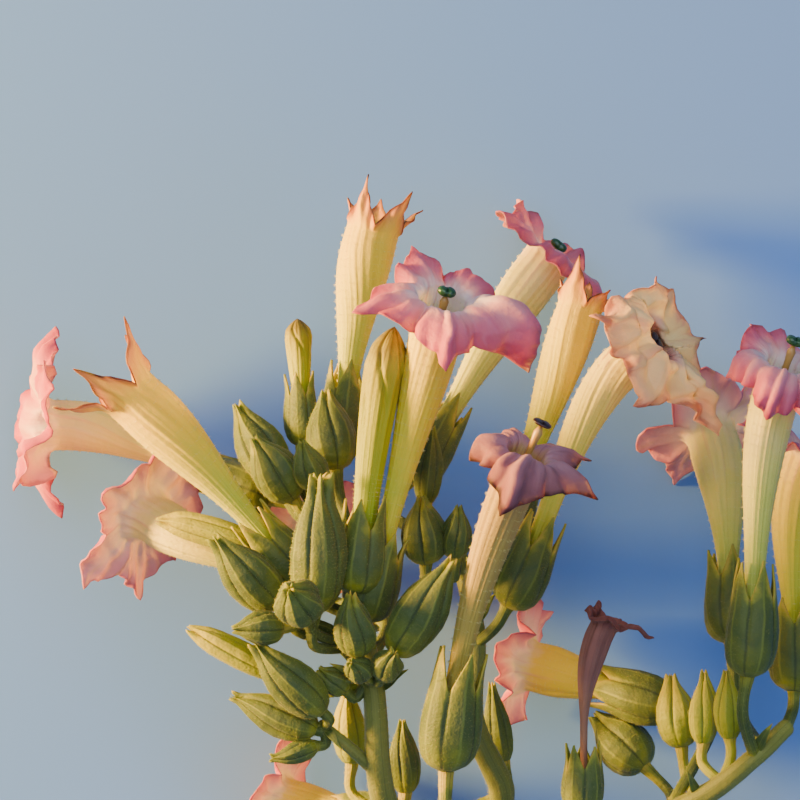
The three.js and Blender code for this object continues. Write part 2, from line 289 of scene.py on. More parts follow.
def activate(*pieces):
    bpy.ops.object.select_all(action="DESELECT")
    for piece in pieces:
        piece.select_set(True)
    bpy.context.view_layer.objects.active = pieces[0]


def closeEnds(piece):
    # rings drawn to a point become one point
    activate(piece)
    bpy.ops.object.mode_set(mode="EDIT")
    bpy.ops.mesh.select_all(action="SELECT")
    bpy.ops.mesh.remove_doubles(threshold=2e-6)
    bpy.ops.object.mode_set(mode="OBJECT")
    bpy.ops.object.shade_smooth()
    return piece


def thicken(piece, wall, skinPair=None):
    # with a pair of materials, the second is for the face inside the wall
    for skin in skinPair or []:
        piece.data.materials.append(skin)
    activate(piece)
    solid = piece.modifiers.new("wall", "SOLIDIFY")
    solid.thickness = wall / 1000
    solid.offset = -1
    solid.use_even_offset = False
    solid.material_offset = 1 if skinPair else 0
    bpy.ops.object.modifier_apply(modifier="wall")
    bpy.ops.object.shade_smooth()


def joined(pieces, name):
    activate(*pieces)
    bpy.ops.object.join()
    pieces[0].name = name
    return pieces[0]


def settle(piece, node, material=None):
    if material:
        piece.data.materials.clear()
        piece.data.materials.append(material)
    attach(piece, "root")
    if node:
        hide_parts(node)


# materials

def startSkin(name, scale, detail=2.0):
    # a material with soft patches in it
    material, tree, shader = newMaterial(name)
    place = addNode(tree, "TexCoord").outputs["Object"]
    patch = addNode(tree, "TexNoise", {"Vector": place, "Scale": scale, "Detail": detail})
    return material, tree, shader, place, patch


def petalSkin(name, stops, veinColour, blotch, dry=0.0):
    # living petal: thin and soft, so light spreads in it, with uneven veins that run its length,
    # patches about 6 mm wide and a grain of 0.7 mm
    material, tree, shader, place, patch = startSkin(name, 170.0, 5.0)
    grain = addNode(tree, "TexNoise", {"Vector": place, "Scale": 1500.0, "Detail": 3.0})
    split = addNode(tree, "SeparateXYZ", {0: addNode(tree, "UVMap", uv_map="flower")})
    turn = addNode(tree, "Math", {0: split, 1: fullTurn}, operation="MULTIPLY")
    east = addNode(tree, "Math", {0: turn}, operation="COSINE")
    north = addNode(tree, "Math", {0: turn}, operation="SINE")
    ring = addNode(tree, "CombineXYZ", {0: east, 1: north, 2: split.outputs[1]})
    # about 30 streaks go round a tube, each some 1 mm wide
    drawnOut = addNode(tree, "VectorMath", {0: ring, 1: (5.0, 5.0, 2.2)}, operation="MULTIPLY")
    streak = addNode(tree, "TexNoise", {"Vector": drawnOut, "Scale": 1.0, "Detail": 4.0})
    mixed = addNode(tree, "Math", {0: streak, 1: 0.6, 2: patch}, operation="MULTIPLY_ADD")
    shift = addNode(tree, "Math", {0: mixed, 1: 0.8}, operation="SUBTRACT")
    sway = addNode(tree, "Math", {0: shift, 1: blotch, 2: split.outputs[1]}, operation="MULTIPLY_ADD")
    ground = addNode(tree, "ValToRGB", {0: sway}, stops=stops)
    vein = addNode(tree, "MapRange", {0: streak, 1: 0.56, 2: 0.7, 3: 0, 4: 0.5})
    colour = addNode(tree, "Mix", {0: vein, 6: ground, 7: linear(veinColour)}, data_type="RGBA")
    height = addNode(tree, "Math", {0: grain, 1: 0.5, 2: streak}, operation="MULTIPLY_ADD")
    bump = addNode(tree, "Bump", {"Height": height, "Strength": 0.7, "Distance": 0.0003})
    gloss = addNode(tree, "MapRange", {0: patch, 3: 0.45 + dry, 4: 0.62 + dry})
    feed(tree, shader, {
        "Base Color": colour.outputs[2], "Normal": bump, "Roughness": gloss, "IOR": 1.4,
        "Subsurface Weight": 0.32, "Subsurface Radius": (1.0, 0.78, 0.5), "Subsurface Scale": 0.002,
        "Sheen Weight": 0.03, "Specular IOR Level": 0.25})
    return material


def leafSkin(name, stops, keelColour, seamColour, ribs=lobeCount, pith=None):
    # green leaf tissue of cups, buds and stems: matt, with a pale keel and dark seams, mottling
    # about 4 mm wide and pores of 0.5 mm
    material, tree, shader, place, patch = startSkin(name, 260.0, 6.0)
    grain = addNode(tree, "TexNoise", {"Vector": place, "Scale": 2000.0, "Detail": 3.0})
    split = addNode(tree, "SeparateXYZ", {0: addNode(tree, "UVMap", uv_map="flower")})
    shift = addNode(tree, "Math", {0: patch, 1: 0.5}, operation="SUBTRACT")
    sway = addNode(tree, "Math", {0: shift, 1: 0.7, 2: split.outputs[1]}, operation="MULTIPLY_ADD")
    ground = addNode(tree, "ValToRGB", {0: sway}, stops=stops)
    wander = addNode(tree, "Math", {0: shift, 1: 0.02, 2: split}, operation="MULTIPLY_ADD")
    turns = addNode(tree, "Math", {0: wander, 1: fullTurn * ribs}, operation="MULTIPLY")
    wave = addNode(tree, "Math", {0: turns}, operation="COSINE")
    keel = addNode(tree, "MapRange", {0: wave, 1: 0.95, 2: 1, 3: 0, 4: 0.45})
    seam = addNode(tree, "MapRange", {0: wave, 1: -0.93, 2: -1, 3: 0, 4: 0.6})
    layers = [(keel, keelColour), (seam, seamColour)]
    if pith:
        # the flat cut shows pale pith inside a thin green rim
        cut = addNode(tree, "MapRange", {0: split.outputs[1], 1: 0.03, 2: 0.034, 3: 1, 4: 0})
        layers.append((cut, pith))
    colour = ground
    for share, tint in layers:
        colour = addNode(tree, "Mix", {0: share, 6: colour, 7: linear(tint)}, data_type="RGBA").outputs[2]
    height = addNode(tree, "Math", {0: grain, 1: 0.5, 2: patch}, operation="MULTIPLY_ADD")
    bump = addNode(tree, "Bump", {"Height": height, "Strength": 0.7, "Distance": 0.0004})
    gloss = addNode(tree, "MapRange", {0: patch, 3: 0.5, 4: 0.68})
    feed(tree, shader, {
        "Base Color": colour, "Normal": bump, "Roughness": gloss,
        "Subsurface Weight": 0.15, "Subsurface Radius": (0.6, 1.0, 0.25), "Subsurface Scale": 0.0012,
        "Sheen Weight": 0.03, "Specular IOR Level": 0.3})
    return material


skins = {
    "petalPink": petalSkin("freshPetal", [
        (0, "#9CA62C"), (0.14, "#CCBE2C"), (0.27, "#E8C62C"), (0.4, "#ECC43C"), (0.48, "#F2C88A"),
        (0.6, "#F0B09A"), (0.78, "#E89088"), (0.96, "#D46E76"), (1, "#B04C5C")], "#DE9070", 0.22),
    "palePink": petalSkin("palePetal", [
        (0, "#A0AC3C"), (0.17, "#CCC650"), (0.3, "#EAD264"), (0.4, "#EED27C"), (0.48, "#F2CC98"),
        (0.6, "#F2B8A0"), (0.78, "#EC9C92"), (0.96, "#DA7C80"), (1, "#B85866")], "#DEA070", 0.22),
    "facePink": petalSkin("freshPetalFace", [
        (0, "#C8C878"), (0.3, "#E6D898"), (0.4, "#F2E0C4"), (0.48, "#F0CEC0"), (0.62, "#E0948E"),
        (0.78, "#CC6676"), (0.96, "#B8485E"), (1, "#963448")], "#D07A88", 0.26),
    "petalCream": petalSkin("creamPetal", [
        (0, "#98A42C"), (0.18, "#C4C034"), (0.34, "#EAC62C"), (0.46, "#EEBA34"), (0.66, "#E8A23C"),
        (0.9, "#D47E48"), (0.985, "#7A4028"), (1, "#5A2A1C")], "#DDA232", 0.12),
    "petalTissue": petalSkin("softeningPetal", [
        (0, "#A3AA2C"), (0.16, "#DAC440"), (0.37, "#EAC860"), (0.41, "#7C4A50"), (0.47, "#D9A088"),
        (0.62, "#EFC884"), (0.84, "#ECB674"), (0.97, "#D99468"), (1, "#A0604A")], "#D0806C", 0.26, 0.06),
    # wilted flower: the mauve limb and its dark dry edges are its own colour, but the tube stops up to 0.36
    # are darkened to a dull mustard as painted shade
    "petalDusky": petalSkin("wiltedPetalShadedTube", [
        (0, "#8A8430"), (0.14, "#B0943A"), (0.36, "#B4904C"), (0.45, "#B8886A"), (0.54, "#A8767A"),
        (0.8, "#8E585C"), (0.94, "#78464A"), (0.985, "#3A1C1C"), (1, "#2A1210")], "#6E3E44", 0.2, 0.1),
    "petalBrown": petalSkin("driedPetal", [
        (0, "#A8724E"), (0.3, "#94604E"), (0.6, "#7C463C"), (1, "#66362E")], "#34140F", 0.5, 0.2),
    "calyxGreen": leafSkin("calyxLeaf", [
        (0, "#868418"), (0.12, "#60681C"), (0.45, "#485422"), (0.8, "#5A621E"), (0.95, "#8A861E"),
        (1, "#A8922C")], "#868A2E", "#283214"),
    "budLime": leafSkin("youngBud", [
        (0, "#848A18"), (0.4, "#96961C"), (0.8, "#A89C20"), (1, "#A8962A")], "#A8A02C", "#5A6014"),
    "stemGreen": leafSkin("greenStem", [
        (0, "#6A6E26"), (0.4, "#6C6E2C"), (0.7, "#767830"), (1, "#84822E")], "#8A8A38", "#4E5420", 9,
        "#DDDCA8"),
}
skins["budRolled"] = petalSkin("rolledPetal", [
    (0, "#7E8A18"), (0.3, "#98A01A"), (0.6, "#A6A41C"), (0.84, "#A0941E"), (0.94, "#7A6C20"),
    (1, "#5A4C20")], "#6E7616", 0.3)
print("materials made")


# open flowers

usual = {
    "throat": 4.4, "lobe": 10.5, "cup": 17, "cupRadius": 4.5,  # mm
    "swell": 0.26, "folds": 0,  # where the tube begins to widen, as a share of it, and how folded it is
    "notch": 0.56, "full": 1.5, "narrow": 0.12,  # how far the notches reach, and the outline of a lobe
    "tip": 1.2, "point": 0.12,  # mm that a lobe's point reaches on, and the share of the lobe it takes
    "frill": 0.34, "crumple": 0.22, "fold": 5.5,  # mm of ruffle and of crumpling, and the size of a crease
    "bend": 1,  # share of a lobe where its curl is complete
    "skin": "petalPink",
    "lobes": [(0, 1, 84, 10), (72, 1, 84, 16), (144, 1, 86, 6), (216, 1, 84, 14), (288, 1, 86, 10)],
}
petalWall = 0.25  # mm
cupWall = 0.35
cupStart = 2  # mm of tube hidden in the bottom of the cup
tubeFoot = 1.7

# each lobe: where it points in degrees from the viewer's side round to the right, its reach,
# how far it opens in degrees, and how far it curls on after that
flowers = {
    "centre": {
        "foot": (-5, 26, 58), "base": (-6.2, 30.5, 61), "mouth": (7.3, 84, 72), "facing": (0.2, 0.8, 0.56),
        "style": 2.5, "lobe": 11, "frill": 0.5, "tip": 5, "notch": 0.64, "full": 1.9, "crumple": 0.34,
        "bend": 0.85,
        "lobes": [(14, 1.02, 92, 54), (76, 1.5, 90, 94), (162, 0.42, 60, 0), (218, 0.7, 86, 8),
                  (301, 0.94, 94, 34)]},
    "front_right": {
        "foot": (4, -9, 38), "base": (7.8, 5.4, 66), "mouth": (21, 58, 78), "facing": (0.38, 0.83, 0.42),
        "rise": (0.06, 1, 0.2), "style": 7.5, "throat": 3.6, "lobe": 10, "cup": 21, "cupRadius": 5.1,
        "notch": 0.66, "full": 1.6, "narrow": 0.1, "tip": 4.9, "point": 0.14, "frill": 0.5, "crumple": 0.4,
        "fold": 7, "bend": 0.85, "skin": "petalDusky",
        "lobes": [(2, 1.22, 100, 66), (80, 0.9, 98, 26), (136, 0.9, 98, 14), (212, 0.74, 104, 50),
                  (280, 0.84, 104, 92)]},
    "left": {
        "foot": (-7, 31, 55), "base": (-15, 36, 57), "mouth": (-45.4, 69.2, 64), "facing": (-0.72, 0.68, 0.1),
        "throat": 5, "lobe": 7.6, "notch": 0.18, "full": 1.7, "narrow": 0.24, "tip": 3.8, "point": 0.16,
        "frill": 0.5, "skin": "petalCream",
        "lobes": [(-22, 1.04, 30, 12), (50, 1.04, 34, -10), (124, 0.78, 28, 0), (206, 0.6, 36, 20),
                  (284, 0.9, 46, -10)]},
    "far_left": {
        "foot": (-8, 42, 50), "base": (-22, 51, 36), "mouth": (-60.3, 63.7, 17), "facing": (-0.93, 0, 0.34),
        "throat": 4.2, "lobe": 12, "frill": 0.8, "tip": 2.2, "full": 1.9, "crumple": 0.5, "fold": 7,
        "skin": "palePink",
        "lobes": [(40, 1, 66, 30), (98, 1.14, 100, 50), (180, 0.85, 84, 10), (264, 1.06, 100, 44),
                  (314, 1.14, 46, 26)]},
    "lower_left": {
        "foot": (-7, 36, 53), "base": (-14, 35, 43), "mouth": (-42.5, 47.6, 34),
        "facing": (-0.63, 0.4, -0.66), "throat": 4.2, "lobe": 10.8, "frill": 0.8, "tip": 2.6, "full": 2.2,
        "notch": 0.74, "crumple": 0.5, "fold": 7, "skin": "palePink", "point": 0.16,
        "lobes": [(-4, 1, 96, 40), (92, 1.05, 86, 4), (180, 0.95, 90, 10), (236, 1.12, 88, 10),
                  (278, 1.04, 86, 14)]},
    "top_left": {
        "foot": (-8, 44, 50), "base": (-10.6, 58, 38), "mouth": (-4.8, 97, 30), "facing": (0.25, 0.97, 0),
        "throat": 4.6, "lobe": 7, "notch": 0.2, "full": 1.3, "narrow": 0.26, "tip": 1.6, "frill": 0.4,
        "skin": "petalCream",
        "lobes": [(-38, 1.1, 6, -6), (44, 1, 14, 10), (104, 0.8, 26, 18), (180, 0.8, 16, 6),
                  (252, 0.6, 10, 4)]},
    "top": {
        "foot": (10, 42, 38), "base": (1.6, 54, 30), "mouth": (25.4, 92, 15.5), "facing": (0.6, 0.78, -0.1),
        "style": 3.5, "frill": 0.8, "tip": 1.6, "full": 1.8, "skin": "palePink", "notch": 0.66,
        "lobes": [(12, 0.88, 100, 50), (84, 0.92, 92, 56), (165, 0.72, 44, 10), (236, 0.95, 54, 10),
                  (294, 0.88, 92, 20)]},
    "top_right": {
        "foot": (11, 36, 38), "base": (16.5, 42, 34), "mouth": (31, 84, 34), "facing": (0.3, 0.95, 0),
        "lobe": 6.6, "throat": 4, "notch": 0.22, "full": 1.3, "narrow": 0.24, "frill": 0.35,
        "skin": "petalCream",
        "lobes": [(-30, 1.1, 8, 2), (44, 0.62, 16, 8), (108, 0.5, 16, 6), (180, 0.7, 12, 4),
                  (250, 0.5, 10, 4)]},
    "right": {
        "foot": (13, 26, 38), "base": (18.3, 32.5, 42), "mouth": (43.5, 78, 48), "facing": (0.76, 0.4, 0.5),
        "throat": 4, "lobe": 10, "style": 0.5, "notch": 0.74, "tip": 3, "point": 0.15, "frill": 0.4,
        "crumple": 1.2, "fold": 8, "skin": "petalTissue",
        "lobes": [(-36, 1.14, 98, 46), (28, 1.12, 100, 52), (96, 1.35, 94, 24), (160, 0.56, 56, 10),
                  (248, 0.68, 62, 6)]},
    "withered": {
        "foot": (22, -12, 23), "base": (30.8, -2, 56), "mouth": (34.2, 29.5, 61), "facing": (0.4, 0.9, 0.1),
        "throat": 2.2, "waist": 0.6, "swell": 0.42, "lobe": 3.4, "cup": 12, "cupRadius": 3.6, "notch": 0.8,
        "tip": 0.4, "frill": 0.3, "narrow": 0, "crumple": 0.6, "folds": 0.2, "skin": "petalBrown",
        "lobes": [(0, 1, 30, 120), (84, 1.9, 74, 30), (140, 1.1, 20, 130), (216, 1.2, 10, 150),
                  (280, 1.1, 10, 160)]},
    "right_cluster": {
        "foot": (60.6, 7, 48), "base": (59, 21, 56), "mouth": (65, 73, 64), "facing": (0.3, 0.86, 0.42),
        "throat": 4, "lobe": 9.5, "style": 5.5, "cup": 20, "frill": 0.8, "tip": 2, "notch": 0.7, "full": 1.9,
        "bend": 0.8, "skin": "palePink",
        "lobes": [(-4, 1.2, 104, 72), (48, 1.35, 102, 70), (130, 0.9, 92, 14), (233, 0.68, 76, 0),
                  (284, 0.94, 106, 70)]},
    "right_back": {
        "foot": (62, 8, 47), "base": (57.5, 26, 24), "mouth": (54.5, 61.5, 12.5),
        "facing": (-0.25, 0.8, -0.55), "lobe": 11.5, "frill": 0.85, "tip": 2, "full": 1.8, "skin": "palePink",
        "lobes": [(10, 0.92, 78, 0), (85, 1, 84, 0), (152, 0.86, 86, 4), (210, 1.05, 92, 10),
                  (268, 0.8, 86, 4)]},
    "low_back": {
        "foot": (46, -3, 38), "base": (47, 15, 28), "mouth": (23.5, 21.5, 15.8),
        "facing": (-0.85, 0.2, -0.25), "lobe": 11, "frill": 0.8},
    "right_edge": {
        "foot": (66, 12, 46), "base": (67.5, 18, 42), "mouth": (70, 57.5, 40), "facing": (0.35, 0.93, 0.1),
        "lobe": 10, "frill": 0.8},
    "low_left": {
        "foot": (4, -9, 38), "base": (-1, -5, 32), "mouth": (-19, -2, 14), "facing": (-0.75, 0.2, -0.3),
        "throat": 3.8, "lobe": 9.5, "frill": 0.45},
    "under": {
        "foot": (-5, 24, 57), "base": (-4, 31, 44), "mouth": (-14, 44.5, 11.2),
        "facing": (-0.66, 0.1, -0.74)},
}
slots = {"petalDusky": "petal_dusky", "petalCream": "petal_cream", "petalBrown": "petal_brown"}
for name, flower in flowers.items():
    flowers[name] = {**usual, "slot": slots.get(flower.get("skin"), "petal_pink"), **flower}

tubeShare = 0.42  # share of the rings that the tube takes; the lobes take the rest
firstLean = 0.22  # radians between the tube and a lobe where it leaves the mouth
openBy = 0.42  # share of a lobe by which it has its flare
curlFrom = 0.4  # share of the bend where the curl begins
leanSteps = 14
foldWays = 9  # waves that cross in a crumpled petal
meanCrest = 1.27  # what a crest comes to on average, so that crumpling moves a petal neither way
anyStart = (0, 6.3)  # radians; where a ripple may begin


def inLobes(angle):
    return angle / fullTurn * lobeCount


def perLobe(angle, values):
    # five values blended round the mouth, each whole at its own lobe
    place = inLobes(angle) % lobeCount
    low = np.floor(place).astype(int)
    share = smooth(place - low, 0.1, 0.9)
    values = np.array(values, float)
    return values[low % lobeCount] * (1 - share) + values[(low + 1) % lobeCount] * share


def fromLobe(angle):
    # 0 in the middle of a lobe, 1 in the notch between two
    return 1 - np.abs(inLobes(angle) % 1 - 0.5) * 2


def ripples(random, orders, depths, winds=None):
    # for each order: how deep it is, where it begins and how far it winds on the way along
    return [(k, random.uniform(*depths), random.uniform(*anyStart), random.uniform(*winds) if winds else 0)
            for k in orders]


def rippled(wave, angle, along, waves):
    return 1 + sum(deep * wave(k * angle + start + wind * along) for k, deep, start, wind in waves)


def crumpled(points, amount, size, seed):
    # small folds with sharp crests: waves that cross at odd angles
    random = np.random.default_rng(seed)
    moved = np.zeros_like(points)
    for _ in range(foldWays):
        wave = unit(random.normal(size=3)) * math.pi / (size * random.uniform(0.5, 1.5))
        crest = 2 * np.abs(np.sin(points @ wave + random.uniform(*anyStart))) - meanCrest
        moved += unit(random.normal(size=3)) * crest[:, None]
    return points + moved * amount / foldWays ** 0.5


def petals(name, flower, seed):
    line = flowerLine(flower)
    length, throat = line["length"], flower["throat"]
    random = np.random.default_rng(seed)
    swings = [swing + random.uniform(-4, 4) for swing, *_ in flower["lobes"]]
    swings = np.radians([swings[-1] - 360, *swings, swings[0] + 360, swings[1] + 360])
    reaches = [reach * random.uniform(0.96, 1.04) for _, reach, _, _ in flower["lobes"]]
    flares = np.radians([flare for _, _, flare, _ in flower["lobes"]])
    curls = np.radians([curl + random.uniform(-5, 5) for *_, curl in flower["lobes"]])
    ribs = ripples(random, (5, 7, 10, 13, 16, 21, 26), (0.003, 0.011))
    waves = [(k, random.uniform(0.6, 1) * (9 / k) ** 0.4, random.uniform(*anyStart), random.uniform(-2, 2))
             for k in (7, 11, 16, 23)]
    foot = flower.get("waist", min(tubeFoot, throat * 0.6))
    bend = flower["bend"]

    def shape(angle, along):
        tube = np.clip(along / tubeShare, 0, 1)
        limb = np.clip((along - tubeShare) / (1 - tubeShare), 0, 1)
        place = inLobes(angle) % lobeCount
        aside = fromLobe(angle)
        # lobes stand where their swings say, and narrow towards their points
        middle = np.round(place)
        slim = 1 - flower["narrow"] * limb * (1 - aside ** 2)
        swung = np.interp(middle + (place - middle) * slim, np.arange(-1, 7), swings)
        even = place / lobeCount * fullTurn
        wayRound = even + (swung - even) * smooth(tube, 0.5, 1)
        # the tube is narrow in the cup, swells from its middle, and has a few uneven ribs
        radius = foot + ((throat - foot) * smooth(tube, flower["swell"], 0.9)
                         * (1 - 0.04 * smooth(tube, 0.9, 1)))
        radius = radius * (rippled(np.cos, angle, 0, ribs)
                           + 0.03 * np.cos(lobeCount * angle) * smooth(tube, 0.6, 1))
        radius = radius * (1 + flower["folds"] * np.sin(3 * angle + 2.5 * along + 1) * smooth(tube, 0.1, 0.5))
        height = cupStart + (length - cupStart) * tube
        # the lobes leave the mouth steeply, open to their flare and curl on towards their points
        outline = flower["notch"] + (1 - flower["notch"]) * (1 - aside ** flower["full"])
        share = perLobe(angle, reaches)
        point = flower["tip"] * share * np.exp(-(aside / flower["point"]) ** 2)
        reach = share * (flower["lobe"] * outline + point)
        flare, curl = perLobe(angle, flares), perLobe(angle, curls)
        out, rise = np.zeros_like(limb), np.zeros_like(limb)
        for k in range(leanSteps):
            at = limb * (k + 0.5) / leanSteps
            lean = (firstLean + (flare - firstLean) * smooth(at, 0, openBy)
                    + curl * smooth(at, curlFrom * bend, bend))
            out += np.sin(lean) * limb / leanSteps
            rise += np.cos(lean) * limb / leanSteps
        wave = sum(high * np.sin(k * angle + start + drift * limb) for k, high, start, drift in waves)
        ruffle = wave * flower["frill"] * limb ** 1.7 * (0.45 + 0.55 * smooth(aside, 0.05, 0.6))
        pleat = -0.9 * limb * np.exp(-((1 - aside) / 0.16) ** 2) + 0.9 * limb * aside * (1 - aside)
        keel = -0.32 * limb * np.exp(-(aside / 0.1) ** 2)
        lift = (ruffle + pleat + keel) * flower["lobe"] / 11
        radius = np.maximum(radius + out * reach - np.cos(lean) * lift * smooth(limb, 0, 0.3), 0.15)
        height = height + rise * reach + np.sin(lean) * lift
        points = onLine(line, height, radius, wayRound, along > tubeShare)
        if flower["crumple"]:
            loose = smooth(along, tubeShare * 0.75, tubeShare * 1.3)[:, None]
            folded = crumpled(points * 1000, flower["crumple"] * 1.5, flower["fold"], seed)
            folded = crumpled(folded, flower["crumple"] * 0.22, flower["fold"] * 0.42, seed + 1) / 1000
            points = points * (1 - loose) + folded * loose
        return points

    piece = shaped("petals_" + name, "petals", shape)
    outer = skins[flower["skin"]]
    inner = skins["facePink"] if flower["skin"] in ("petalPink", "palePink") else outer
    thicken(piece, petalWall, [outer, inner])
    settle(piece, "bloom_" + name)
    return piece


blooms = {name: petals(name, flower, seed) for seed, (name, flower) in enumerate(flowers.items(), 11)}
print("trumpets made:", len(blooms))


# pistils

pistilSet = {  # mm, where no other unit is given
    "style": 0.62,  # radius
    "fresh": (1.6, 1.5, 0.3),  # radius and height of the stigma, and how deep its groove is as a share
    "old": (1.65, 0.8, 0.1),
    "oldFlowers": ("front_right", "right"),
    "turn": 0.3,  # radians between the groove and the side that faces the viewer
}


def styleSkin(name):
    # the style is smooth, pale and a little glassy
    material, tree, shader, _, patch = startSkin(name, 300.0)
    colour = addNode(tree, "ValToRGB", {0: patch}, stops=[(0.3, "#A87430"), (0.7, "#C0924A")])
    feed(tree, shader, {"Base Color": colour, "Roughness": 0.4})
    return material


def stigmaSkin(name, dark, pale):
    # the stigma is wet and finely warted
    material, tree, shader, _, patch = startSkin(name, 2500.0, 3.0)
    colour = addNode(tree, "ValToRGB", {0: patch}, stops=[(0.3, dark), (0.75, pale)])
    bump = addNode(tree, "Bump", {"Height": patch, "Strength": 0.6, "Distance": 0.0001})
    feed(tree, shader, {"Base Color": colour, "Normal": bump, "Roughness": 0.32})
    return material


freshStigma = stigmaSkin("wetStigma", "#16331A", "#2F5A2E")
oldStigma = stigmaSkin("dryStigma", "#1C0D0A", "#3A1E16")
paleStyle = styleSkin("paleStyle")


def pistil(name, flower):
    line = flowerLine(flower)
    top, foot = line["length"] + flower["style"], line["length"] * 0.3
    old = name in pistilSet["oldFlowers"]
    thick, tall, deep = pistilSet["old" if old else "fresh"]

    def stylePath(angle, along):
        radius = pistilSet["style"] * (1 - 0.2 * np.sin(along * math.pi) + 0.5 * smooth(along, 0.9, 1))
        radius = radius * np.where(along < 1, 1, 0.001)
        return onLine(line, foot + (top - foot) * along, radius, angle)

    def stigmaShape(angle, along):
        # two flat lobes side by side with a groove between them
        turned = angle - pistilSet["turn"]
        bulge = np.sin(np.clip(along, 0.001, 0.999) * math.pi) ** 0.5
        groove = 1 - deep * np.exp(-(np.sin(turned) / 0.3) ** 2)
        wide = 1 - 0.34 * np.sin(turned) ** 2
        dent = -0.5 * smooth(along, 0.6, 1) * np.exp(-(np.sin(turned) / 0.35) ** 2)
        radius = thick * bulge * (1.15 - 0.5 * np.cos(angle) ** 2) * (0.6 * groove + 0.4 * wide)
        height = top - 0.5 + tall * (0.5 - 0.5 * np.cos(along * math.pi)) + dent
        return onLine(line, height, radius, angle)

    settle(closeEnds(shaped("style_" + name, "style", stylePath)), None, paleStyle)
    settle(closeEnds(shaped("stigma_" + name, "stigma", stigmaShape)), None,
           oldStigma if old else freshStigma)


for name, flower in flowers.items():
    if "style" in flower:
        pistil(name, flower)
print("pistils made")


# green cups, stalks and shut calyxes

stalkRadius = 1.1
cupEdge = (0.66, 0.36)  # share of a cup's length where its teeth part, and the length of a tooth


def stalk(flower, width=1.0):
    start, base = np.array([flower["foot"], flower["base"]], float)
    into = setOut(flower)
    half = base - into * np.linalg.norm(base - start) * stalkRun
    line = softLine([start, half, base + into * 0.8])

    def shape(angle, along):
        ends = 0.3 * smooth(along, 0.8, 1.0) + 0.12 * smooth(1 - along, 0.8, 1)
        radius = stalkRadius * width * (0.92 + ends) * (1 + 0.04 * np.cos(5 * angle))
        return onLine(line, along * line["length"], radius, angle)

    return shaped("stalk_part", "stalk", shape)


def leafRelief(angle, deep):
    # convex sepals, each with a keel, and one edge laid over the next
    aside, off = fromLobe(angle), inLobes(angle) % 1
    off = off - np.round(off)
    keel = 0.03 * np.exp(-(aside / 0.1) ** 2)
    seam = -0.055 * np.exp(-((1 - aside) / 0.1) ** 2)
    lap = 0.03 * smooth(off, 0.34, 0.47)
    return 1 + deep * (0.1 * (1 - aside ** 2) - 0.06 + keel + seam + lap)


def cup(flower, seed):
    line = flowerLine(flower)
    length, wide = flower["cup"], flower["cupRadius"]
    random = np.random.default_rng(seed)
    turn = random.uniform(0, math.radians(72))
    teeth = random.uniform(0.86, 1.12, lobeCount)
    lean = random.uniform(-0.3, 0.8, lobeCount)
    waves = ripples(random, (2, 3, 7), (0.006, 0.016), (2, 8))

    def shape(angle, along):
        aside = fromLobe(angle)
        height = along * length * (cupEdge[0] + cupEdge[1] * (1 - aside ** 0.85) * perLobe(angle, teeth))
        share = height / length
        radius = wide * np.interp(share, [0, 0.02, 0.06, 0.13, 0.24, 0.4, 0.55, 0.7, 0.85, 1.05],
                                  [0.24, 0.42, 0.7, 0.9, 1, 1, 0.93, 0.85, 0.78, 0.7])
        radius = radius * leafRelief(angle, smooth(share, 0.02, 0.5)) * rippled(np.sin, angle, share, waves)
        radius = radius + smooth(share, 0.7, 1.0) * perLobe(angle, lean) * (1 - aside)
        return onLine(line, height, radius, angle + turn)

    piece = shaped("cup_part", "cup", shape)
    thicken(piece, cupWall)
    return [piece, stalk(flower)]


def shutCalyx(flower, seed):
    line = flowerLine(flower)
    length, wide = line["length"], flower["radius"]
    random = np.random.default_rng(seed)
    turn = random.uniform(0, math.radians(72))
    twist = random.uniform(0.1, 0.35) * random.choice([-1, 1])
    tips = random.uniform(0.4, 1.0, lobeCount) * length * 0.06
    lean = random.uniform(-0.05, 0.25, lobeCount) * wide * flower["gape"]
    waves = ripples(random, (2, 3, 6), (0.008, 0.022), (2, 7))
    if flower["slim"]:
        stops = [0.22, 0.5, 0.8, 0.94, 1, 0.97, 0.9, 0.72, 0.42, 0.12]
    else:
        stops = [0.22, 0.58, 0.86, 0.98, 1, 0.9, 0.68, 0.43, 0.25, 0.13]

    def shape(angle, along):
        aside = fromLobe(angle)
        body, inward = np.clip(along / 0.93, 0, 1), smooth(along, 0.93, 1)
        radius = wide * np.interp(body, [0, 0.05, 0.15, 0.28, 0.42, 0.57, 0.71, 0.83, 0.92, 1], stops)
        # the sepals meet along deep seams, and their points stand a little apart
        deep = 0.5 + 1.2 * smooth(body, 0.05, 0.6) + 2.2 * smooth(body, 0.6, 1)
        radius = radius * leafRelief(angle, deep) * rippled(np.sin, angle, body, waves)
        radius = radius * (1 - 0.75 * smooth(body, 0.85, 1) * aside ** 2)
        radius = radius + smooth(body, 0.8, 1) * perLobe(angle, lean) * (1 - aside ** 2)
        height = body * length * (1 - 0.05 * smooth(body, 0.7, 1) * aside)
        height = height + perLobe(angle, tips) * (1 - aside) ** 2 * smooth(body, 0.86, 1) * 0.6
        wound = angle + turn + twist * smooth(body, 0.3, 1)
        return onLine(line, height - inward * length * 0.07, radius * (1 - inward), wound)

    return [closeEnds(shaped("calyx_part", "calyx", shape)), stalk(flower, 0.9)]


